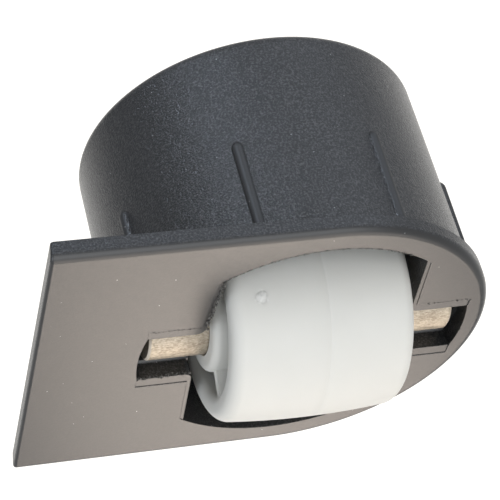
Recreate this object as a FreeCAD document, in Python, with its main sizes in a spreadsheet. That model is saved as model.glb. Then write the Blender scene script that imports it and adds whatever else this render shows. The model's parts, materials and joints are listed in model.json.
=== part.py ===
import FreeCAD, Part
import Sketcher
import math
import os
import re

# Recessed furniture roller: a moulded press-in housing, a moulded roller and a steel axle.
# Origin: cup axis at the flange's mounting face. +Z into the furniture, X along the axle,
# +X towards the flange's round end. Millimetres and degrees.

SIZES = [
    ("cup_diameter", 35.1, "outside of the press-in cup at the mounting face"),
    ("cup_depth", 22.5, "cup height above the mounting face"),
    ("cup_taper", 0.2, "radius lost from the mounting face to the closed end"),
    ("cup_wall", 1.85, "wall between the cup's outside and the roller well"),
    ("cup_floor", 1.8, "thickness of the closed end"),
    ("cup_end_round", 1.2, "rounding of the closed end's edge"),
    ("flange_margin", 0.9, "flange beyond the cup at the sides and the round end"),
    ("flange_tail", 8.75, "flange beyond the cup at the straight end"),
    ("flange_thickness", 1.85, "flange plate"),
    ("flange_edge_round", 0.8, "rounding of the front edge along the sides and the round end"),
    ("flange_end_lean", 0.3, "straight end's lean outwards, from the mounting face to the front"),
    ("flange_end_round", 0.3, "rounding of the straight end's edges and corners"),
    ("rib_count", 8, "crush ribs round the cup"),
    ("rib_angle", 22.5, "direction of the first crush rib from +X"),
    ("rib_diameter", 1.2, "crush rib bead"),
    ("rib_height", 10.9, "crush rib height above the mounting face"),
    ("rib_proud", 0.3, "crush rib beyond the cup's outside"),
    ("rib_lead", 0.9, "height of the rounded top of a crush rib"),
    ("cheek_gap", 19.6, "opening between the two cheeks, at its ends"),
    ("cheek_flare", 0.7, "each cheek's lean outwards from the opening's ends to the axle"),
    ("opening_offset", 0.2, "opening set off the cup's axis, towards the straight end"),
    ("cheek_corner", 0.8, "corner radius between cheek and axle slot, in plan"),
    ("rebate_depth", 0.06, "shallow rebate along the opening's edges, left by the mould's insert"),
    ("cheek_rebate", 0.4, "width of the rebate along the cheeks"),
    ("bevel_width", 1.25, "bevel along the slot's long edges"),
    ("bevel_depth", 0.1, "depth of the bevel at the slot's edge"),
    ("axle_diameter", 6.8, "steel pin"),
    ("axle_height", 2.1, "axle centre above the mounting face"),
    ("axle_end_play", 1.1, "axle end to slot end"),
    ("axle_chamfer", 0.2, "chamfer on the pin's ends"),
    ("slot_end_wall", 1.2, "cup wall left behind the slot's ends"),
    ("slot_clearance", 0.15, "axle side to slot side, at the mouth"),
    ("snap_bite", 0.15, "throat lip narrower than the axle, on each side"),
    ("snap_height", 0.6, "height of the throat lip"),
    ("lead_in", 0.2, "chamfer on the throat lip"),
    ("cradle_clearance", 0.05, "axle to cradle, radial"),
    ("bore_clearance", 0.15, "axle to roller bore, radial"),
    ("side_play", 1.05, "roller hub to cheek, at the axle"),
    ("hub_proud", 0.45, "hub end beyond the roller's rim"),
    ("hub_wall", 1.65, "hub tube wall"),
    ("hub_round", 0.8, "rounding of the hub's end edges"),
    ("well_clearance", 2.4, "roller tread to the well's wall, at the rim's ends"),
    ("tread_crown", 0.5, "tread radius at the middle less at the ends"),
    ("rim_wall", 2.5, "rim thickness at its ends"),
    ("rim_corner", 1.4, "outer rounding of the rim's ends"),
    ("rim_inner_round", 0.9, "inner rounding of the rim's ends"),
    ("recess_depth", 7.6, "depth of the ring recess in each end"),
    ("spoke_count", 3, "spokes between hub and rim"),
    ("spoke_angle", 22.0, "direction of the first spoke from straight down"),
    ("spoke_thickness", 0.9, "spoke thickness"),
    ("spoke_set_back", 0.3, "spoke end below the rim's end"),
]

# Values that follow from the sizes above.
CUP_RADIUS = "(cup_diameter / 2)"
CUP_END_RADIUS = "(cup_diameter / 2 - cup_taper)"
WELL_RADIUS = "(cup_diameter / 2 - cup_wall)"
FLANGE_HALF = "(cup_diameter / 2 + flange_margin)"
FLANGE_END = "(cup_diameter / 2 + flange_tail)"
RIB_AXIS = "(cup_diameter / 2 + rib_proud - rib_diameter / 2)"
RIB_NOSE = "(rib_lead ^ 2 / rib_diameter + rib_diameter / 4)"
CHEEK_X = "(cheek_gap / 2)"
CHEEK_Y = f"sqrt({WELL_RADIUS} ^ 2 - {CHEEK_X} ^ 2)"
CHEEK_MIDDLE = f"({CHEEK_X} + cheek_flare)"
CHEEK_LEAN = f"(cheek_flare / {CHEEK_Y})"
SLOT_END_RADIUS = "(cup_diameter / 2 - slot_end_wall)"
SLOT_HALF = "(axle_diameter / 2 + slot_clearance)"
SLOT_X = f"sqrt({SLOT_END_RADIUS} ^ 2 - {SLOT_HALF} ^ 2)"
SLOT_MOUTH = f"({CHEEK_MIDDLE} - {CHEEK_LEAN} * {SLOT_HALF})"
REBATE_X = f"({CHEEK_X} + cheek_rebate)"
REBATE_Y = f"sqrt({WELL_RADIUS} ^ 2 - {REBATE_X} ^ 2)"
BEVEL_HALF = f"({SLOT_HALF} + bevel_width)"
THROAT_HALF = "(axle_diameter / 2 - snap_bite)"
CRADLE_RADIUS = "(axle_diameter / 2 + cradle_clearance)"
AXLE_LENGTH = f"(2 * ({SLOT_END_RADIUS} - axle_end_play))"
BORE_RADIUS = "(axle_diameter / 2 + bore_clearance)"
HUB_RADIUS = f"({BORE_RADIUS} + hub_wall)"
HUB_X = f"({CHEEK_MIDDLE} - side_play)"
RIM_X = f"({HUB_X} - hub_proud)"
TREAD_RADIUS = f"(sqrt({WELL_RADIUS} ^ 2 - {RIM_X} ^ 2) - well_clearance)"
RIM_RADIUS = f"({TREAD_RADIUS} - tread_crown)"
CROWN_RADIUS = f"(({RIM_X} ^ 2 + tread_crown ^ 2) / (2 * tread_crown))"
RECESS_RADIUS = f"({RIM_RADIUS} - rim_wall)"
WEB_X = f"({RIM_X} - recess_depth)"

TOLERANCE = 1e-4

doc = FreeCAD.newDocument("RecessedRoller")
sheet = doc.addObject("Spreadsheet::Sheet", "Sizes")
for row, (alias, size, note) in enumerate(SIZES, start=1):
    sheet.set(f"A{row}", note)
    sheet.set(f"B{row}", str(size))
    sheet.setAlias(f"B{row}", alias)
doc.recompute()

ALIAS_WORDS = re.compile(r"\b(" + "|".join(alias for alias, size, note in SIZES) + r")\b")


def bound(expression):
    return ALIAS_WORDS.sub(r"Sizes.\1", expression)


def value(expression):
    return float(sheet.evalExpression(bound(expression)))


def new_body(name):
    body = doc.addObject("PartDesign::Body", name)
    body.Label = name
    return body


def origin_feature(body, role):
    return next(item for item in body.Origin.OriginFeatures if item.Role == role)


def new_sketch(body, name, role, level="0", shift="0", turn_axis=None, turn="0"):
    sketch = body.newObject("Sketcher::SketchObject", name)
    sketch.AttachmentSupport = [(origin_feature(body, role), "")]
    sketch.MapMode = "FlatFace"
    sketch.setExpression(".AttachmentOffset.Base.z", bound(level))
    sketch.setExpression(".AttachmentOffset.Base.x", bound(shift))
    if turn_axis:
        sketch.AttachmentOffset = FreeCAD.Placement(FreeCAD.Vector(), FreeCAD.Rotation(turn_axis, 1.0))
        sketch.setExpression(".AttachmentOffset.Rotation.Angle", bound(turn))
    return sketch


def arc_through(start, end, radius):
    # Minor arc that runs counter-clockwise from start to end.
    chord = end - start
    middle = (start + end) * 0.5
    rise = math.sqrt(max(radius ** 2 - (chord.Length / 2) ** 2, 0.0))
    left = FreeCAD.Vector(-chord.y, chord.x, 0).normalize()
    centre = middle + left * rise
    first = math.atan2(start.y - centre.y, start.x - centre.x)
    last = math.atan2(end.y - centre.y, end.x - centre.x)
    if last < first:
        last += 2 * math.pi
    circle = Part.Circle(centre, FreeCAD.Vector(0, 0, 1), radius)
    return Part.ArcOfCircle(circle, first, last)


def closed_outline(sketch, corners):
    # corners: counter-clockwise (x, y, radius of the arc to the next corner, or None for a line).
    points = [FreeCAD.Vector(value(x), value(y), 0) for x, y, radius in corners]
    count = len(corners)
    for index, (x, y, radius) in enumerate(corners):
        start = points[index]
        end = points[(index + 1) % count]
        if radius is None:
            edge = Part.LineSegment(start, end)
        else:
            edge = arc_through(start, end, value(radius))
        sketch.addGeometry(edge, False)
    first = len(sketch.Geometry) - count
    for index, (x, y, radius) in enumerate(corners):
        edge = first + index
        following = first + (index + 1) % count
        sketch.addConstraint(Sketcher.Constraint("Coincident", edge, 2, following, 1))
        for kind, expression, size in (("DistanceX", x, points[index].x), ("DistanceY", y, points[index].y)):
            place = sketch.addConstraint(Sketcher.Constraint(kind, -1, 1, edge, 1, size))
            sketch.setExpression(f"Constraints[{place}]", bound(expression))
        if radius is not None:
            place = sketch.addConstraint(Sketcher.Constraint("Radius", edge, value(radius)))
            sketch.setExpression(f"Constraints[{place}]", bound(radius))


def extrude(body, kind, name, sketch, length, symmetric=False, reverse=False):
    feature = body.newObject(kind, name)
    feature.Profile = sketch
    feature.SideType = "Symmetric" if symmetric else "One side"
    feature.Reversed = reverse
    feature.setExpression("Length", bound(length))
    sketch.Visibility = False
    doc.recompute()
    return feature


def revolve(body, name, sketch, axis):
    feature = body.newObject("PartDesign::Revolution", name)
    feature.Profile = sketch
    feature.ReferenceAxis = (sketch, [axis])
    feature.Angle = 360
    doc.recompute()
    return feature


def repeat_round(body, name, feature, role, count):
    pattern = body.newObject("PartDesign::PolarPattern", name)
    pattern.Originals = [feature]
    pattern.Axis = (origin_feature(body, role), [""])
    pattern.Angle = 360
    pattern.setExpression("Occurrences", bound(count))
    body.Tip = pattern
    doc.recompute()
    return pattern


def dress(body, kind, name, size_property, size, wanted):
    base = body.Tip
    edges = [f"Edge{i}" for i, edge in enumerate(base.Shape.Edges, start=1) if wanted(edge)]
    feature = body.newObject(kind, name)
    feature.Base = (base, edges)
    feature.setExpression(size_property, bound(size))
    body.Tip = feature
    doc.recompute()
    return feature


def near(first, second):
    return abs(first - second) < TOLERANCE


def ends(edge):
    return [vertex.Point for vertex in edge.Vertexes]


def middle_of(edge):
    return edge.valueAt((edge.FirstParameter + edge.LastParameter) / 2)


# Housing: D-shaped flange, closed cup, crush ribs, roller well, axle slot and cradles.
housing = new_body("housing")

tail_profile = new_sketch(housing, "FlangeTailProfile", "XZ_Plane")
closed_outline(tail_profile, [
    (f"-{FLANGE_END} - flange_end_lean", "-flange_thickness", None),
    ("0", "-flange_thickness", None),
    ("0", "0", None),
    (f"-{FLANGE_END}", "0", None),
])
extrude(housing, "PartDesign::Pad", "FlangeTail", tail_profile, f"2 * {FLANGE_HALF}", symmetric=True)

round_outline = new_sketch(housing, "FlangeRoundOutline", "XY_Plane")
closed_outline(round_outline, [
    ("0", f"-{FLANGE_HALF}", FLANGE_HALF),
    (FLANGE_HALF, "0", FLANGE_HALF),
    ("0", FLANGE_HALF, None),
])
extrude(housing, "PartDesign::Pad", "FlangeRound", round_outline, "flange_thickness", reverse=True)

front = -value("flange_thickness")
end_at_face = -value(FLANGE_END)
end_at_front = end_at_face - value("flange_end_lean")


def at_straight_end(edge):
    return all(near(p.x, end_at_front if near(p.z, front) else end_at_face) for p in ends(edge))


def is_front_edge(edge):
    return all(near(p.z, front) for p in ends(edge)) and not at_straight_end(edge)


def is_end_outline(edge):
    return at_straight_end(edge) and middle_of(edge).z < -TOLERANCE


dress(housing, "PartDesign::Fillet", "FlangeEdge", "Radius", "flange_edge_round", is_front_edge)
dress(housing, "PartDesign::Fillet", "FlangeEnd", "Radius", "flange_end_round", is_end_outline)

cup_profile = new_sketch(housing, "CupProfile", "XZ_Plane")
closed_outline(cup_profile, [
    ("0", "-flange_thickness / 2", None),
    (CUP_RADIUS, "-flange_thickness / 2", None),
    (CUP_RADIUS, "0", None),
    (CUP_END_RADIUS, "cup_depth - cup_end_round", "cup_end_round"),
    (f"{CUP_END_RADIUS} - cup_end_round", "cup_depth", None),
    ("0", "cup_depth", None),
])
revolve(housing, "Cup", cup_profile, "V_Axis")

rib_profile = new_sketch(
    housing, "CrushRibProfile", "XZ_Plane",
    level=f"-{RIB_AXIS} * sin(rib_angle)", shift=f"{RIB_AXIS} * cos(rib_angle)",
)
closed_outline(rib_profile, [
    ("0", "-flange_thickness / 2", None),
    ("rib_diameter / 2", "-flange_thickness / 2", None),
    ("rib_diameter / 2", "rib_height - rib_lead", RIB_NOSE),
    ("0", "rib_height", None),
])
crush_rib = revolve(housing, "CrushRib", rib_profile, "V_Axis")
repeat_round(housing, "CrushRibs", crush_rib, "Z_Axis", "rib_count")

well_outline = new_sketch(
    housing, "WellOutline", "XY_Plane", level="-flange_thickness", shift="-opening_offset"
)
closed_outline(well_outline, [
    (CHEEK_X, f"-{CHEEK_Y}", None),
    (CHEEK_MIDDLE, "0", None),
    (CHEEK_X, CHEEK_Y, WELL_RADIUS),
    (f"-{CHEEK_X}", CHEEK_Y, None),
    (f"-{CHEEK_MIDDLE}", "0", None),
    (f"-{CHEEK_X}", f"-{CHEEK_Y}", WELL_RADIUS),
])
extrude(
    housing, "PartDesign::Pocket", "RollerWell", well_outline,
    "flange_thickness + cup_depth - cup_floor", reverse=True,
)

cradle_profile = new_sketch(housing, "CradleProfile", "YZ_Plane")
closed_outline(cradle_profile, [
    (f"-{THROAT_HALF}", "-flange_thickness", None),
    (THROAT_HALF, "-flange_thickness", None),
    (THROAT_HALF, "snap_height", None),
    (CRADLE_RADIUS, f"snap_height + {CRADLE_RADIUS} - {THROAT_HALF}", None),
    (CRADLE_RADIUS, "axle_height", CRADLE_RADIUS),
    ("0", f"axle_height + {CRADLE_RADIUS}", CRADLE_RADIUS),
    (f"-{CRADLE_RADIUS}", "axle_height", None),
    (f"-{CRADLE_RADIUS}", f"snap_height + {CRADLE_RADIUS} - {THROAT_HALF}", None),
    (f"-{THROAT_HALF}", "snap_height", None),
])
extrude(housing, "PartDesign::Pocket", "AxleCradles", cradle_profile, f"2 * {SLOT_X}", symmetric=True)

slot_outline = new_sketch(housing, "SlotOutline", "XY_Plane", level="-flange_thickness")
closed_outline(slot_outline, [
    (f"-{SLOT_X}", f"-{SLOT_HALF}", None),
    (SLOT_X, f"-{SLOT_HALF}", SLOT_END_RADIUS),
    (SLOT_X, SLOT_HALF, None),
    (f"-{SLOT_X}", SLOT_HALF, SLOT_END_RADIUS),
])
extrude(housing, "PartDesign::Pocket", "AxleSlot", slot_outline, "flange_thickness", reverse=True)

mouth_x = value(SLOT_MOUTH)
mouth_y = value(SLOT_HALF)
opening_middle = -value("opening_offset")


def is_mouth_corner(edge):
    return all(near(abs(p.x - opening_middle), mouth_x) and near(abs(p.y), mouth_y) for p in ends(edge))


dress(housing, "PartDesign::Fillet", "CheekCorners", "Radius", "cheek_corner", is_mouth_corner)

rebate_outline = new_sketch(
    housing, "RebateOutline", "XY_Plane", level="-flange_thickness", shift="-opening_offset"
)
closed_outline(rebate_outline, [
    (REBATE_X, f"-{REBATE_Y}", None),
    (f"{CHEEK_MIDDLE} + cheek_rebate", "0", None),
    (REBATE_X, REBATE_Y, WELL_RADIUS),
    (f"-{REBATE_X}", REBATE_Y, None),
    (f"-{CHEEK_MIDDLE} - cheek_rebate", "0", None),
    (f"-{REBATE_X}", f"-{REBATE_Y}", WELL_RADIUS),
])
extrude(housing, "PartDesign::Pocket", "InsertRebate", rebate_outline, "rebate_depth", reverse=True)

bevel_profile = new_sketch(housing, "SlotBevelProfile", "YZ_Plane")
closed_outline(bevel_profile, [
    (f"-{BEVEL_HALF}", "-flange_thickness", None),
    (BEVEL_HALF, "-flange_thickness", None),
    (BEVEL_HALF, "rebate_depth - flange_thickness", None),
    (SLOT_HALF, "bevel_depth - flange_thickness", None),
    (f"-{SLOT_HALF}", "bevel_depth - flange_thickness", None),
    (f"-{BEVEL_HALF}", "rebate_depth - flange_thickness", None),
])
extrude(housing, "PartDesign::Pocket", "SlotBevels", bevel_profile, f"2 * {SLOT_X}", symmetric=True)

lead_in_profile = new_sketch(housing, "LeadInProfile", "YZ_Plane")
closed_outline(lead_in_profile, [
    (f"-{THROAT_HALF} - lead_in", "0", None),
    (f"{THROAT_HALF} + lead_in", "0", None),
    (THROAT_HALF, "lead_in", None),
    (f"-{THROAT_HALF}", "lead_in", None),
])
extrude(housing, "PartDesign::Pocket", "LeadIns", lead_in_profile, f"2 * {SLOT_X}", symmetric=True)

# Roller: crowned drum with a hub tube, a ring recess and spokes in each end.
roller = new_body("roller")
roller.setExpression(".Placement.Base.z", bound("axle_height"))

roller_profile = new_sketch(roller, "RollerProfile", "XZ_Plane")
closed_outline(roller_profile, [
    (f"-{HUB_X}", BORE_RADIUS, None),
    (HUB_X, BORE_RADIUS, None),
    (HUB_X, HUB_RADIUS, None),
    (WEB_X, HUB_RADIUS, None),
    (WEB_X, RECESS_RADIUS, None),
    (RIM_X, RECESS_RADIUS, None),
    (RIM_X, RIM_RADIUS, CROWN_RADIUS),
    (f"-{RIM_X}", RIM_RADIUS, None),
    (f"-{RIM_X}", RECESS_RADIUS, None),
    (f"-{WEB_X}", RECESS_RADIUS, None),
    (f"-{WEB_X}", HUB_RADIUS, None),
    (f"-{HUB_X}", HUB_RADIUS, None),
])
revolve(roller, "Drum", roller_profile, "H_Axis")

rim_x = value(RIM_X)
hub_x = value(HUB_X)


def is_ring(edge, x, radius):
    # Edges are read in the body's own frame, with the roller's axis through its origin.
    centre = getattr(edge.Curve, "Center", None)
    return centre is not None and near(abs(centre.x), x) and near(edge.Curve.Radius, radius)


def is_rim_corner(edge):
    return is_ring(edge, rim_x, value(RIM_RADIUS))


def is_rim_inner(edge):
    return is_ring(edge, rim_x, value(RECESS_RADIUS))


def is_hub_edge(edge):
    return is_ring(edge, hub_x, value(HUB_RADIUS))


dress(roller, "PartDesign::Fillet", "RimCorners", "Radius", "rim_corner", is_rim_corner)
dress(roller, "PartDesign::Fillet", "RimInnerEdges", "Radius", "rim_inner_round", is_rim_inner)
dress(roller, "PartDesign::Fillet", "HubEdges", "Radius", "hub_round", is_hub_edge)

spoke_profile = new_sketch(
    roller, "SpokeProfile", "YZ_Plane", turn_axis=FreeCAD.Vector(0, 0, 1), turn="spoke_angle"
)
closed_outline(spoke_profile, [
    ("-spoke_thickness / 2", f"-{RECESS_RADIUS} - rim_wall / 4", None),
    ("spoke_thickness / 2", f"-{RECESS_RADIUS} - rim_wall / 4", None),
    ("spoke_thickness / 2", f"-{HUB_RADIUS} + hub_wall / 2", None),
    ("-spoke_thickness / 2", f"-{HUB_RADIUS} + hub_wall / 2", None),
])
spoke = extrude(
    roller, "PartDesign::Pad", "Spoke", spoke_profile, f"2 * ({RIM_X} - spoke_set_back)", symmetric=True
)
repeat_round(roller, "Spokes", spoke, "X_Axis", "spoke_count")

# Axle: plain pin with chamfered ends, lying in the cradles.
axle = new_body("axle")
axle.setExpression(".Placement.Base.z", bound("axle_height"))

pin_section = new_sketch(axle, "PinSection", "YZ_Plane")
pin_circle = Part.Circle(FreeCAD.Vector(), FreeCAD.Vector(0, 0, 1), value("axle_diameter / 2"))
pin_section.addGeometry(pin_circle, False)
pin_section.addConstraint(Sketcher.Constraint("Coincident", 0, 3, -1, 1))
pin_radius = pin_section.addConstraint(Sketcher.Constraint("Radius", 0, value("axle_diameter / 2")))
pin_section.setExpression(f"Constraints[{pin_radius}]", bound("axle_diameter / 2"))
extrude(axle, "PartDesign::Pad", "Pin", pin_section, AXLE_LENGTH, symmetric=True)


def is_pin_end(edge):
    return is_ring(edge, value(AXLE_LENGTH) / 2, value("axle_diameter / 2"))


dress(axle, "PartDesign::Chamfer", "PinEnds", "Size", "axle_chamfer", is_pin_end)

doc.recompute()
for item in doc.Objects:
    if "Invalid" in item.State or "Error" in item.State:
        raise RuntimeError(f"{item.Name} failed: {item.State}")

pieces = (housing, roller, axle)
for piece in pieces:
    shape = piece.Shape
    if shape.isNull() or not shape.isValid() or len(shape.Solids) != 1:
        raise RuntimeError(f"{piece.Label} is not one valid solid")

os.makedirs("parts", exist_ok=True)
for piece in pieces:
    box = piece.Shape.BoundBox
    print(
        f"{piece.Label}: volume {piece.Shape.Volume:.1f} mm3,"
        f" x {box.XMin:.2f} to {box.XMax:.2f}, y {box.YMin:.2f} to {box.YMax:.2f},"
        f" z {box.ZMin:.2f} to {box.ZMax:.2f}"
    )
    piece.Shape.exportStep(f"parts/{piece.Label}.step")
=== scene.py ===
import json
import math

import bmesh
import bpy
from mathutils import Matrix, Vector
from mathutils.bvhtree import BVHTree


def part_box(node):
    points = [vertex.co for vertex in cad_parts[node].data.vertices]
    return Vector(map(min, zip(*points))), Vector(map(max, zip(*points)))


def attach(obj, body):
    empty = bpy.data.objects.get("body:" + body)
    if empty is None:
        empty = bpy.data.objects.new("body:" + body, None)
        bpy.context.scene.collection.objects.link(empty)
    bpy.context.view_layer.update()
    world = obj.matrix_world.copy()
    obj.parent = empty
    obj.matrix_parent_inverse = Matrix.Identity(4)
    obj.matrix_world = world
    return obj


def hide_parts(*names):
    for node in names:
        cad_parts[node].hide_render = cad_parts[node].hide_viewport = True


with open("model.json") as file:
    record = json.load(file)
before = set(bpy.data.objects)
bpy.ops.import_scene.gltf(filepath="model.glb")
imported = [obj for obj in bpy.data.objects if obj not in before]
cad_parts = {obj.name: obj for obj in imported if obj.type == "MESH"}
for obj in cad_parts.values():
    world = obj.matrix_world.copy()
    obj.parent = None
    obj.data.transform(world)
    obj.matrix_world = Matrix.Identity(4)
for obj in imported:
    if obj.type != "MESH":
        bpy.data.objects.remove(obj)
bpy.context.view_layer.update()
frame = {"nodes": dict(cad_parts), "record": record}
mm = 0.001  # sizes are written in millimetres, the scene is in metres
print("frame loaded:", ", ".join(sorted(frame["nodes"])))


def linearColor(hexText):  # "#rrggbb" as the eye sees it, to the linear values that shaders take
    channels = [int(hexText[i:i + 2], 16) / 255 for i in (1, 3, 5)]
    return [c / 12.92 if c <= 0.04045 else ((c + 0.055) / 1.055) ** 2.4 for c in channels] + [1.0]


def addNode(tree, kind, inputs=None, **settings):  # an input is a value, or a socket to link from
    node = tree.nodes.new(kind)
    for name, setting in settings.items():
        setattr(node, name, setting)
    for key, value in (inputs or {}).items():
        if isinstance(value, bpy.types.NodeSocket):
            tree.links.new(value, node.inputs[key])
        else:
            node.inputs[key].default_value = value
    return node


def newMaterial(name, inputs):  # a material with one Principled shader, returned with its tree
    material = bpy.data.materials.new(name)
    material.use_nodes = True
    tree = material.node_tree
    tree.nodes.clear()
    shader = addNode(tree, "ShaderNodeBsdfPrincipled", inputs)
    addNode(tree, "ShaderNodeOutputMaterial", {"Surface": shader.outputs["BSDF"]})
    return material, tree, shader


# Black polypropylene: the cup has a spark-eroded grain that glints, its ribs are matt, the flange is
# satin from a stoned mould face with drag marks on its sides, and a few pale specks of dust lie on it
housingFinish = {
    "color": "#17191b",
    "paleColor": "#1f2022",
    "dustColor": "#a3a5a6",
    "ior": 1.49,
    "flangeTopMm": 0.05,  # the flange's finish ends at this height
    "flangeFadeMm": 0.20,
    "smoothest": 0.32,  # the flange
    "roughest": 0.38,
    "satinMm": 0.22,  # stoned mould face, drawn coarser than real so that it shows
    "satinDepthMm": 0.004,
    "satinBand": (0.3, 0.7),  # noise values that give the smoothest and the roughest
    "sheen": 0.85,
    "dragDepth": 0.8,  # marks on the flange's sides, as a share of the grain
    "dragTilt": (0.2, 0.5),  # they fade out as the side leans over
    "ribRadiusMm": 17.60,  # the ribs stand out beyond this radius
    "ribFadeMm": 0.05,
    "ribRoughness": 0.5,
    "grainMm": 0.19,  # spark-eroded grain, drawn wider than real for the same reason
    "grainDepthMm": 0.10,
    "grainRoughness": 0.29,
    "grainBand": (0.45, 0.80),  # noise values of pits and crests
    "pitSheen": 0.68,  # pits shade themselves
    "crestSheen": 2.1,
    "edgeMm": 0.10,  # softness of the moulded edges
    "flowMm": 7.0,  # cloudy flow marks
    "dustSpacingMm": 1.5,
    "dustMm": 0.11,
}


def makeHousingFinish(look):
    material, tree, shader = newMaterial("moulded_black_polypropylene", {
        "IOR": look["ior"], "Specular IOR Level": look["sheen"],
    })
    coordinates = addNode(tree, "ShaderNodeTexCoord").outputs
    place = coordinates["Object"]
    axes = addNode(tree, "ShaderNodeSeparateXYZ", {"Vector": place}).outputs
    flangeTop = look["flangeTopMm"]
    overFlange = addNode(tree, "ShaderNodeMapRange", {
        "Value": axes["Z"],
        "From Min": flangeTop * mm, "From Max": (flangeTop + look["flangeFadeMm"]) * mm,
    }).outputs["Result"]
    flat = addNode(tree, "ShaderNodeCombineXYZ", {"X": axes["X"], "Y": axes["Y"]}).outputs["Vector"]
    radius = addNode(tree, "ShaderNodeVectorMath", {0: flat}, operation="LENGTH").outputs["Value"]
    ribRadius = look["ribRadiusMm"]
    onCup = addNode(tree, "ShaderNodeMapRange", {
        "Value": radius,
        "From Min": ribRadius * mm, "From Max": (ribRadius + look["ribFadeMm"]) * mm,
        "To Min": overFlange, "To Max": 0.0,
    }).outputs["Result"]
    flow = addNode(tree, "ShaderNodeTexNoise", {
        "Vector": place, "Scale": 1 / (look["flowMm"] * mm), "Detail": 4.0,
    }).outputs["Fac"]
    grain = addNode(tree, "ShaderNodeTexNoise", {
        "Vector": place, "Scale": 1 / (look["grainMm"] * mm), "Detail": 2.0, "Roughness": 0.6,
    }).outputs["Fac"]
    satin = addNode(tree, "ShaderNodeTexNoise", {
        "Vector": place, "Scale": 1 / (look["satinMm"] * mm), "Detail": 2.0, "Roughness": 0.6,
    }).outputs["Fac"]
    dust = addNode(tree, "ShaderNodeTexVoronoi", {
        "Vector": place, "Scale": 1 / (look["dustSpacingMm"] * mm),
    }).outputs["Distance"]
    isDust = addNode(tree, "ShaderNodeMath", {
        0: dust, 1: look["dustMm"] / 2 / look["dustSpacingMm"],
    }, operation="LESS_THAN").outputs[0]
    plastic = addNode(tree, "ShaderNodeMix", {
        0: flow, 6: linearColor(look["color"]), 7: linearColor(look["paleColor"]),
    }, data_type="RGBA").outputs[2]
    color = addNode(tree, "ShaderNodeMix", {
        0: isDust, 6: plastic, 7: linearColor(look["dustColor"]),
    }, data_type="RGBA").outputs[2]
    upright = addNode(tree, "ShaderNodeSeparateXYZ", {"Vector": coordinates["Normal"]}).outputs["Z"]
    tilt = addNode(tree, "ShaderNodeMath", {0: upright}, operation="ABSOLUTE").outputs[0]
    onSide = addNode(tree, "ShaderNodeMapRange", {
        "Value": tilt, "From Min": look["dragTilt"][0], "From Max": look["dragTilt"][1],
        "To Min": look["dragDepth"], "To Max": 0.0,
    }).outputs["Result"]
    marked = addNode(tree, "ShaderNodeMix", {0: overFlange, 2: onSide, 3: onCup}).outputs[0]
    grainSheen = addNode(tree, "ShaderNodeMapRange", {
        "Value": grain, "From Min": look["grainBand"][0], "From Max": look["grainBand"][1],
        "To Min": look["pitSheen"], "To Max": look["crestSheen"],
    }).outputs["Result"]
    sheen = addNode(tree, "ShaderNodeMix", {0: marked, 2: look["sheen"], 3: grainSheen}).outputs[0]
    satinRoughness = addNode(tree, "ShaderNodeMapRange", {
        "Value": satin, "From Min": look["satinBand"][0], "From Max": look["satinBand"][1],
        "To Min": look["smoothest"], "To Max": look["roughest"],
    }).outputs["Result"]
    cupRoughness = addNode(tree, "ShaderNodeMix", {
        0: onCup, 2: look["ribRoughness"], 3: look["grainRoughness"],
    }).outputs[0]
    roughness = addNode(tree, "ShaderNodeMix", {
        0: overFlange, 2: satinRoughness, 3: cupRoughness,
    }).outputs[0]
    softEdge = addNode(tree, "ShaderNodeBevel", {"Radius": look["edgeMm"] * mm}).outputs["Normal"]
    satinBump = addNode(tree, "ShaderNodeBump", {
        "Height": satin, "Strength": 1.0, "Distance": look["satinDepthMm"] * mm, "Normal": softEdge,
    }).outputs["Normal"]
    grainBump = addNode(tree, "ShaderNodeBump", {
        "Height": grain, "Strength": marked, "Distance": look["grainDepthMm"] * mm, "Normal": satinBump,
    }).outputs["Normal"]
    tree.links.new(color, shader.inputs["Base Color"])
    tree.links.new(roughness, shader.inputs["Roughness"])
    tree.links.new(sheen, shader.inputs["Specular IOR Level"])
    tree.links.new(grainBump, shader.inputs["Normal"])
    return material


# White acetal: dense, slightly translucent, satin from the mould, whiter where the sprue broke off, with
# a painted highlight on that spot
rollerFinish = {
    "color": "#d8d8d3",
    "shadeColor": "#d2d2cd",
    "cloudMm": 5.0,
    "ior": 1.48,
    "roughness": 0.56,
    "scatter": 0.2,
    "scatterMm": 0.6,
    "scatterShares": (1.0, 0.95, 0.85),  # red goes deepest
    "satinMm": 0.35,
    "satinDepthMm": 0.004,
    "scarAndHighlightColor": "#f2f2ed",
    "scarAndHighlightMm": 1.4,  # across the whitened spot and its painted highlight
    "scarAndHighlightEdgeMm": 0.3,  # notches in its outline
    "scarAndHighlightFadeMm": 0.6,
}


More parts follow.
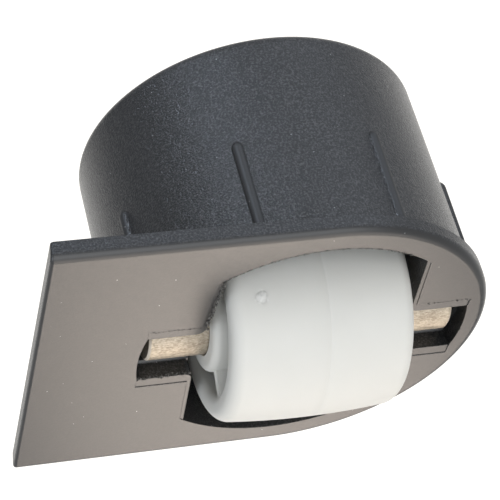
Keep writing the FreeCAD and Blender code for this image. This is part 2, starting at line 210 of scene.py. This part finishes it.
def makeRollerFinish(look, gate):
    material, tree, shader = newMaterial("moulded_white_acetal", {
        "Roughness": look["roughness"],
        "IOR": look["ior"],
        "Subsurface Weight": look["scatter"],
        "Subsurface Radius": look["scatterShares"],
        "Subsurface Scale": look["scatterMm"] * mm,
    })
    place = addNode(tree, "ShaderNodeTexCoord").outputs["Object"]
    cloud = addNode(tree, "ShaderNodeTexNoise", {
        "Vector": place, "Scale": 1 / (look["cloudMm"] * mm), "Detail": 3.0,
    }).outputs["Fac"]
    plastic = addNode(tree, "ShaderNodeMix", {
        0: cloud, 6: linearColor(look["color"]), 7: linearColor(look["shadeColor"]),
    }, data_type="RGBA").outputs[2]
    ragged = addNode(tree, "ShaderNodeTexNoise", {
        "Vector": place, "Scale": 1 / (look["scarAndHighlightEdgeMm"] * mm), "Detail": 2.0,
    }).outputs["Fac"]
    reach = addNode(tree, "ShaderNodeMath", {  # the noise is about a half, so this is a radius
        0: ragged, 1: look["scarAndHighlightMm"] * mm,
    }, operation="MULTIPLY").outputs[0]
    fromGate = addNode(tree, "ShaderNodeVectorMath", {
        0: place, 1: gate,
    }, operation="DISTANCE").outputs["Value"]
    within = addNode(tree, "ShaderNodeMath", {0: reach, 1: fromGate}, operation="SUBTRACT").outputs[0]
    onScarAndHighlight = addNode(tree, "ShaderNodeMapRange", {
        "Value": within, "From Min": 0.0, "From Max": look["scarAndHighlightFadeMm"] * mm,
    }).outputs["Result"]
    # the gate's spot: stress whitening and a painted highlight, lighter than the plastic round it
    color = addNode(tree, "ShaderNodeMix", {
        0: onScarAndHighlight, 6: plastic, 7: linearColor(look["scarAndHighlightColor"]),
    }, data_type="RGBA").outputs[2]
    satin = addNode(tree, "ShaderNodeTexNoise", {
        "Vector": place, "Scale": 1 / (look["satinMm"] * mm), "Detail": 2.0,
    }).outputs["Fac"]
    bump = addNode(tree, "ShaderNodeBump", {
        "Height": satin, "Strength": 1.0, "Distance": look["satinDepthMm"] * mm,
    }).outputs["Normal"]
    tree.links.new(color, shader.inputs["Base Color"])
    tree.links.new(bump, shader.inputs["Normal"])
    return material


# Cropped drawn steel: pale warm grey, mottled by thin oxide, finely pitted along the pin, with a painted
# highlight as a bright line on each chamfer, and dull sheared ends
axleFinish = {
    "color": "#bfb6a7",
    "oxideColor": "#9d9384",
    "oxideBand": (0.85, 1.25),  # sums of both noises that give the one and the other colour
    "chamferHighlightColor": "#f2ebe0",  # painted highlight: the chamfer's bright line
    "chamferFrom": 0.3,  # how far the surface turns to the pin's end
    "endFrom": 0.9,
    "endRoughness": 0.75,  # sheared, not drawn
    "smoothest": 0.34,
    "roughest": 0.62,
    "pitMm": 0.13,  # pits, drawn somewhat wider than real so that they show
    "pitDepthMm": 0.02,
    "pitBand": (0.3, 0.6),  # noise values that give the smoothest and the roughest
    "drawLengthMm": 0.3,  # pits run together along the pin
    "blotchMm": 0.9,
}


def makeAxleFinish(look):
    material, tree, shader = newMaterial("cropped_drawn_steel", {"Metallic": 1.0})
    coordinates = addNode(tree, "ShaderNodeTexCoord").outputs
    place = coordinates["Object"]
    across = 1 / (look["pitMm"] * mm)
    along = 1 / (look["drawLengthMm"] * mm)
    stretched = addNode(tree, "ShaderNodeMapping", {
        "Vector": place, "Scale": (along, across, across),
    }).outputs["Vector"]
    pits = addNode(tree, "ShaderNodeTexNoise", {
        "Vector": stretched, "Scale": 1.0, "Detail": 3.0, "Roughness": 0.65,
    }).outputs["Fac"]
    blotch = addNode(tree, "ShaderNodeTexNoise", {
        "Vector": place, "Scale": 1 / (look["blotchMm"] * mm), "Detail": 3.0, "Roughness": 0.7,
    }).outputs["Fac"]
    oxide = addNode(tree, "ShaderNodeMath", {0: pits, 1: blotch}, operation="ADD").outputs[0]
    oxidized = addNode(tree, "ShaderNodeMapRange", {
        "Value": oxide, "From Min": look["oxideBand"][0], "From Max": look["oxideBand"][1],
    }).outputs["Result"]
    drawnColor = addNode(tree, "ShaderNodeMix", {
        0: oxidized, 6: linearColor(look["color"]), 7: linearColor(look["oxideColor"]),
    }, data_type="RGBA").outputs[2]
    drawnRoughness = addNode(tree, "ShaderNodeMapRange", {
        "Value": pits, "From Min": look["pitBand"][0], "From Max": look["pitBand"][1],
        "To Min": look["smoothest"], "To Max": look["roughest"],
    }).outputs["Result"]
    endwise = addNode(tree, "ShaderNodeSeparateXYZ", {"Vector": coordinates["Normal"]}).outputs["X"]
    steep = addNode(tree, "ShaderNodeMath", {0: endwise}, operation="ABSOLUTE").outputs[0]
    notDrawn = addNode(tree, "ShaderNodeMath", {
        0: steep, 1: look["chamferFrom"],
    }, operation="GREATER_THAN").outputs[0]
    onEnd = addNode(tree, "ShaderNodeMath", {
        0: steep, 1: look["endFrom"],
    }, operation="GREATER_THAN").outputs[0]
    onChamfer = addNode(tree, "ShaderNodeMath", {0: notDrawn, 1: onEnd}, operation="SUBTRACT").outputs[0]
    # painted highlight: the chamfer is coloured pale to stand in for the light it reflects
    color = addNode(tree, "ShaderNodeMix", {
        0: onChamfer, 6: drawnColor, 7: linearColor(look["chamferHighlightColor"]),
    }, data_type="RGBA").outputs[2]
    roughness = addNode(tree, "ShaderNodeMix", {
        0: notDrawn, 2: drawnRoughness, 3: look["endRoughness"],
    }).outputs[0]
    bump = addNode(tree, "ShaderNodeBump", {
        "Height": pits, "Strength": 1.0, "Distance": look["pitDepthMm"] * mm,
    }).outputs["Normal"]
    tree.links.new(color, shader.inputs["Base Color"])
    tree.links.new(roughness, shader.inputs["Roughness"])
    tree.links.new(bump, shader.inputs["Normal"])
    return material


# Torn polypropylene: thin flash turns grey where it stretches
flashFinish = {"color": "#7d7b76", "roughness": 0.45, "whiteningMm": 0.4}


def makeFlashFinish(look, base):
    material, tree, shader = newMaterial("torn_polypropylene_flash", {
        "Roughness": look["roughness"], "IOR": base["ior"],
    })
    place = addNode(tree, "ShaderNodeTexCoord").outputs["Object"]
    whitening = addNode(tree, "ShaderNodeTexNoise", {
        "Vector": place, "Scale": 1 / (look["whiteningMm"] * mm),
    }).outputs["Fac"]
    color = addNode(tree, "ShaderNodeMix", {
        0: whitening, 6: linearColor(base["color"]), 7: linearColor(look["color"]),
    }, data_type="RGBA").outputs[2]
    tree.links.new(color, shader.inputs["Base Color"])
    return material


flashMaterial = makeFlashFinish(flashFinish, housingFinish)
frame["nodes"]["housing"].material_slots[0].material = makeHousingFinish(housingFinish)
frame["nodes"]["axle"].material_slots[0].material = makeAxleFinish(axleFinish)
print("materials made")

sharpDegrees = 35  # an edge that turns more than this stays sharp


def addPiece(name, form, material, body):  # a finished mesh, smooth but for its real edges
    mesh = bpy.data.meshes.new(name)
    bmesh.ops.recalc_face_normals(form, faces=form.faces)
    form.to_mesh(mesh)
    form.free()
    mesh.shade_smooth()
    mesh.set_sharp_from_angle(angle=math.radians(sharpDegrees))
    mesh.materials.append(material)
    piece = bpy.data.objects.new(name, mesh)
    bpy.context.scene.collection.objects.link(piece)
    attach(piece, body)
    return piece


# Roller drum: the roller's solid, with the parting line cut round its tread and the gate's mark on it
drum = {
    "partingMm": 0.3,  # along the axle, from the roller's middle
    "partingWidthMm": 0.16,
    "partingDepthMm": 0.03,
    "boreMm": 5.0,  # the bore lies within this radius, the tread well beyond it
    "clearMm": 20.0,  # a radius outside the tread
    "mergeMm": 0.0005,
    "gateMm": -6.0,  # along the axle
    "gateTurn": 66.0,  # degrees from straight down, towards -Y
    "gateRings": [  # radius and rise in mm
        (0, 0.05), (0.16, 0.045), (0.32, 0.03), (0.46, 0.008), (0.58, -0.016), (0.66, -0.04),
    ],
    "gateSides": 28,
    "gateLobes": 3,
    "gateLobeShare": 0.10,  # of the radius
    "gateLobeTurn": 0.6,
}


def makeDrum(look):
    axis = Vector(frame["record"]["behaviour"]["joints"][0]["pos_m"])
    merge = look["mergeMm"] * mm
    form = bmesh.new()
    form.from_mesh(frame["nodes"]["roller"].data)
    bmesh.ops.remove_doubles(form, verts=form.verts, dist=merge)
    middle = look["partingMm"] * mm
    for side in (-0.5, 0.0, 0.5):
        everything = form.verts[:] + form.edges[:] + form.faces[:]
        cut = (middle + side * look["partingWidthMm"] * mm, 0, 0)
        bmesh.ops.bisect_plane(form, geom=everything, dist=1e-8, plane_co=cut, plane_no=(1, 0, 0))
    for vertex in form.verts:
        outward = Vector((0, vertex.co.y - axis.y, vertex.co.z - axis.z))
        if abs(vertex.co.x - middle) < 1e-7 and outward.length > look["boreMm"] * mm:
            vertex.co -= outward.normalized() * look["partingDepthMm"] * mm

    turn = math.radians(look["gateTurn"])
    outward = Vector((0, -math.sin(turn), -math.cos(turn)))
    sight = axis + Vector((look["gateMm"] * mm, 0, 0)) + outward * look["clearMm"] * mm
    spot, normal, face, distance = BVHTree.FromBMesh(form).ray_cast(sight, -outward)
    across = Vector((1, 0, 0)).cross(normal).normalized()
    along = normal.cross(across)
    count = look["gateSides"]
    rings = []
    for ringRadius, height in look["gateRings"]:
        ring = []
        for i in range(count):
            angle = 2 * math.pi * i / count
            lobe = look["gateLobeShare"] * math.sin(look["gateLobes"] * angle + look["gateLobeTurn"])
            reach = ringRadius * (1 + lobe) * mm
            ring.append(form.verts.new(
                spot + (across * math.cos(angle) + along * math.sin(angle)) * reach + normal * height * mm
            ))
        rings.append(ring)
    for inner, outer in zip(rings, rings[1:]):
        for i in range(count):
            form.faces.new((inner[i], inner[(i + 1) % count], outer[(i + 1) % count], outer[i]))
    bmesh.ops.remove_doubles(form, verts=rings[0], dist=merge)
    return form, spot


drumForm, gateSpot = makeDrum(drum)
rollerMaterial = makeRollerFinish(rollerFinish, gateSpot)
drumPiece = addPiece("roller_drum", drumForm, rollerMaterial, "roller")
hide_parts("roller")
print("roller drum made")

# Mould flash: crumbs of torn plastic along the edges where the mould's parts meet
opening = {
    "middleMm": -0.2,  # the opening's centre line, along the axle
    "wellRadiusMm": 15.7,
    "cheekEndMm": 9.8,  # half of the opening at its ends
    "mouthMm": 10.3,  # half of the opening at the axle
    "throatMm": 1.0,  # from the slot to where the cheek runs straight
    "slotHalfMm": 3.55,
    "slotEndRadiusMm": 16.35,
    "slotSinkMm": 0.2,  # the slot's lower edge, behind the flange's face
    "slotInsetMm": 0.05,
    "bevelHalfMm": 4.8,
    "bevelRightMm": 1.2,  # from the mouth to the bevel
    "bevelLeftMm": 0.6,
    "rimMm": 18.3,  # the flange's upper edge, just within half its width
    "rimEndMm": -25.0,
}
flash = {
    "coarse": (0.05, 0.06, 0.22, 0.16),  # spacing, smallest and largest crumb and scatter, in mm
    "fine": (0.11, 0.04, 0.14, 0.06),
    "sparse": (0.55, 0.02, 0.08, 0.06),
    "flake": (1.6, 1.0, 0.5),  # a crumb's length, width and thickness
    "wellTo": 300,  # degrees round the well, from its corner
    "slotArc": (2, 12),
    "rimArc": (270, 330),
    "seed": 11,
}
crumbSizes = ("Spacing", "Smallest", "Largest", "Scatter")
arcSteps = 24


def makeFlashTree(material, look):
    tree = bpy.data.node_groups.new("crumbs_along_edge", "GeometryNodeTree")
    sockets = {}
    tree.interface.new_socket("Geometry", in_out="OUTPUT", socket_type="NodeSocketGeometry")
    tree.interface.new_socket("Edges", in_out="INPUT", socket_type="NodeSocketGeometry")
    for name in crumbSizes:
        added = tree.interface.new_socket(name, in_out="INPUT", socket_type="NodeSocketFloat")
        sockets[name] = added.identifier
    added = tree.interface.new_socket("Seed", in_out="INPUT", socket_type="NodeSocketInt")
    sockets["Seed"] = added.identifier
    given = addNode(tree, "NodeGroupInput").outputs
    points = addNode(tree, "GeometryNodeCurveToPoints", {
        "Curve": given["Edges"], "Length": given["Spacing"],
    }, mode="LENGTH").outputs["Points"]
    lowest = addNode(tree, "ShaderNodeMath", {
        0: given["Scatter"], 1: -1.0,
    }, operation="MULTIPLY").outputs[0]
    shift = addNode(tree, "FunctionNodeRandomValue", {
        0: lowest, 1: given["Scatter"], "Seed": given["Seed"],
    }, data_type="FLOAT_VECTOR").outputs[0]
    strewn = addNode(tree, "GeometryNodeSetPosition", {
        "Geometry": points, "Offset": shift,
    }).outputs["Geometry"]
    crumb = addNode(tree, "GeometryNodeMeshIcoSphere", {"Radius": 0.5, "Subdivisions": 1}).outputs["Mesh"]
    turn = addNode(tree, "FunctionNodeRandomValue", {
        0: (0.0, 0.0, 0.0), 1: (6.28, 6.28, 6.28), "Seed": given["Seed"],  # any way round
    }, data_type="FLOAT_VECTOR").outputs[0]
    size = addNode(tree, "FunctionNodeRandomValue", {
        2: given["Smallest"], 3: given["Largest"], "Seed": given["Seed"],
    }, data_type="FLOAT").outputs[1]
    flake = addNode(tree, "ShaderNodeVectorMath", {
        0: look["flake"], "Scale": size,
    }, operation="SCALE").outputs["Vector"]
    placed = addNode(tree, "GeometryNodeInstanceOnPoints", {
        "Points": strewn, "Instance": crumb, "Rotation": turn, "Scale": flake,
    }).outputs["Instances"]
    real = addNode(tree, "GeometryNodeRealizeInstances", {"Geometry": placed}).outputs["Geometry"]
    done = addNode(tree, "GeometryNodeSetMaterial", {
        "Geometry": real, "Material": material,
    }).outputs["Geometry"]
    addNode(tree, "NodeGroupOutput", {"Geometry": done})
    return tree, sockets


def arcPath(middle, radius, firstAngle, lastAngle, z):
    sweep = lastAngle - firstAngle
    angles = [math.radians(firstAngle + sweep * i / arcSteps) for i in range(arcSteps + 1)]
    return [(middle + radius * math.cos(a), radius * math.sin(a), z) for a in angles]


def makeFlash(look, edges):
    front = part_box("housing")[0].z / mm
    middle = edges["middleMm"]
    cheekX = edges["cheekEndMm"]
    cheekY = math.sqrt(edges["wellRadiusMm"] ** 2 - cheekX ** 2)
    corner = math.degrees(math.atan2(-cheekY, -cheekX)) + 360
    slot = edges["slotHalfMm"]
    slotX = math.sqrt(edges["slotEndRadiusMm"] ** 2 - slot ** 2)
    slotY = slot - edges["slotInsetMm"]
    slotZ = front + edges["slotSinkMm"]
    mouthX = edges["mouthMm"]
    bevel = edges["bevelHalfMm"]
    rim = edges["rimMm"]
    groups = {
        "coarse": [
            [(middle - cheekX, -cheekY, front), (middle - mouthX, -slot - edges["throatMm"], front)],
            [(-slotX, slotY, slotZ), (middle - mouthX, slotY, slotZ)],
        ],
        "fine": [
            arcPath(middle, edges["wellRadiusMm"], corner, look["wellTo"], front),
            [(mouthX + edges["bevelRightMm"], -bevel, front), (slotX, -bevel, front)],
            [(-slotX, -bevel, front), (-mouthX - edges["bevelLeftMm"], -bevel, front)],
            arcPath(0, edges["slotEndRadiusMm"], *look["slotArc"], front),
        ],
        "sparse": [
            [(edges["rimEndMm"], -rim, 0), (0, -rim, 0)],
            arcPath(0, rim, *look["rimArc"], 0),
        ],
    }
    tree, sockets = makeFlashTree(flashMaterial, look)
    form = bmesh.new()
    for group, paths in groups.items():
        curve = bpy.data.curves.new("flash_" + group, "CURVE")
        curve.dimensions = "3D"
        for path in paths:
            spline = curve.splines.new("POLY")
            spline.points.add(len(path) - 1)
            for point, place in zip(spline.points, path):
                point.co = (place[0] * mm, place[1] * mm, place[2] * mm, 1)
        holder = bpy.data.objects.new(curve.name, curve)
        bpy.context.scene.collection.objects.link(holder)
        crumbs = holder.modifiers.new("crumbs", "NODES")
        crumbs.node_group = tree
        for name, size in zip(crumbSizes, look[group]):
            crumbs[sockets[name]] = size * mm
        crumbs[sockets["Seed"]] = look["seed"]
        evaluated = holder.evaluated_get(bpy.context.evaluated_depsgraph_get())
        mesh = bpy.data.meshes.new_from_object(evaluated)
        form.from_mesh(mesh)
        bpy.data.objects.remove(holder)
        bpy.data.meshes.remove(mesh)
    return form


addPiece("mould_flash", makeFlash(flash, opening), flashMaterial, "housing")
print("mould flash made")

# Studio: white sweep behind the object, a dimmer room in front, warm bounce from under the flange
studio = {
    "sweepColor": "#fffdf9",
    "sweepStrength": 1.25,
    "sweepSide": (0.30, 0.90, 0.30),
    "sweepEdges": (0.50, 0.84),  # cosines from the sweep's middle between which it fades
    "roomColor": "#f0f3f8",
    "roomStrength": 0.56,
    "shadeSide": (-0.6, 0.3, 0.74),  # a dark flag over the left shoulder
    "shadeEdges": (0.75, 0.93),
    "shadeStrength": 0.33,
    "floorZMm": -420.0,
    "floorMm": 40000.0,
    "floorColor": "#f2f1ef",
    "floorRoughness": 0.9,
    "lights": [  # name, direction from the object, distance mm, size mm, radiance, colour
        ("underBounce", (0.25, 0.81, -0.53), 330.0, 108.0, 5.0, "#ffefe0"),
        ("underTable", (0.24, 0.28, -0.93), 380.0, 260.0, 1.75, "#fff3e8"),
        ("frontSoft", (0.10, -0.68, -0.72), 400.0, 380.0, 1.5, "#f8fafc"),
        ("topFront", (0.42, -0.81, 0.39), 400.0, 260.0, 1.25, "#e2edff"),
        ("leftFill", (-0.80, -0.30, -0.52), 400.0, 200.0, 3.3, "#e8effa"),
        ("overCup", (-0.44, -0.73, 0.53), 350.0, 18.0, 215.0, "#dcebff"),
    ],
}


def makeRoom(look):
    world = bpy.data.worlds.new("white_sweep_room")
    world.use_nodes = True
    tree = world.node_tree
    tree.nodes.clear()
    outward = addNode(tree, "ShaderNodeTexCoord").outputs["Generated"]
    shares = {}
    for area in ("sweep", "shade"):
        toward = addNode(tree, "ShaderNodeVectorMath", {
            0: outward, 1: Vector(look[area + "Side"]).normalized(),
        }, operation="DOT_PRODUCT").outputs["Value"]
        first, last = look[area + "Edges"]
        shares[area] = addNode(tree, "ShaderNodeMapRange", {
            "Value": toward, "From Min": first, "From Max": last,
        }, interpolation_type="SMOOTHSTEP").outputs["Result"]
    walls = [c * look["roomStrength"] for c in linearColor(look["roomColor"])]
    flag = [c * look["shadeStrength"] for c in linearColor(look["roomColor"])]
    sweep = [c * look["sweepStrength"] for c in linearColor(look["sweepColor"])]
    room = addNode(tree, "ShaderNodeMix", {
        0: shares["shade"], 6: walls, 7: flag,
    }, data_type="RGBA").outputs[2]
    color = addNode(tree, "ShaderNodeMix", {
        0: shares["sweep"], 6: room, 7: sweep,
    }, data_type="RGBA").outputs[2]
    light = addNode(tree, "ShaderNodeBackground", {"Color": color}).outputs["Background"]
    addNode(tree, "ShaderNodeOutputWorld", {"Surface": light})
    return world


def makeFloor(look):
    half = look["floorMm"] * mm / 2
    level = look["floorZMm"] * mm
    mesh = bpy.data.meshes.new("floor")
    corners = [(-half, -half, level), (half, -half, level), (half, half, level), (-half, half, level)]
    mesh.from_pydata(corners, [], [(0, 1, 2, 3)])
    material, tree, shader = newMaterial("pale_paper", {
        "Base Color": linearColor(look["floorColor"]), "Roughness": look["floorRoughness"],
    })
    mesh.materials.append(material)
    floor = bpy.data.objects.new("floor", mesh)
    bpy.context.scene.collection.objects.link(floor)


def makeLights(look):
    for name, direction, distance, size, radiance, color in look["lights"]:
        lamp = bpy.data.lights.new(name, "AREA")
        lamp.size = size * mm
        lamp.energy = radiance * math.pi * (size * mm) ** 2
        lamp.color = linearColor(color)[:3]
        holder = bpy.data.objects.new(name, lamp)
        away = Vector(direction).normalized()
        turn = away.to_track_quat("Z", "Y").to_matrix().to_4x4()
        holder.matrix_world = Matrix.Translation(away * distance * mm) @ turn
        holder.visible_camera = False
        bpy.context.scene.collection.objects.link(holder)


bpy.context.scene.view_settings.view_transform = "Standard"
bpy.context.scene.world = makeRoom(studio)
makeFloor(studio)
makeLights(studio)
print("studio lit")

# Camera: below the flange, rolled as the photograph is
viewpoint = {
    "azimuth": -19.337,
    "elevation": -32.026,
    "roll": -16.072,
    "distanceMm": 200.635,
    "aimRightMm": -4.68,
    "aimUpMm": 7.44,
    "lensMm": 149.81,
    "sensorMm": 36.0,
    "nearestMm": 10.0,
}


def makeCamera(view):
    azimuth = math.radians(view["azimuth"])
    elevation = math.radians(view["elevation"])
    roll = math.radians(view["roll"])
    level = Vector((math.cos(azimuth), math.sin(azimuth), 0))
    back = Vector((
        math.sin(azimuth) * math.cos(elevation),
        -math.cos(azimuth) * math.cos(elevation),
        math.sin(elevation),
    ))
    upright = back.cross(level)
    right = level * math.cos(roll) + upright * math.sin(roll)
    up = upright * math.cos(roll) - level * math.sin(roll)
    aim = (right * view["aimRightMm"] + up * view["aimUpMm"]) * mm
    lens = bpy.data.cameras.new("camera")
    lens.lens = view["lensMm"]
    lens.sensor_width = view["sensorMm"]
    lens.clip_start = view["nearestMm"] * mm
    camera = bpy.data.objects.new("camera", lens)
    turn = Matrix((right, up, back)).transposed().to_4x4()
    camera.matrix_world = Matrix.Translation(aim + back * view["distanceMm"] * mm) @ turn
    bpy.context.scene.collection.objects.link(camera)
    bpy.context.scene.camera = camera


makeCamera(viewpoint)
print("camera set")
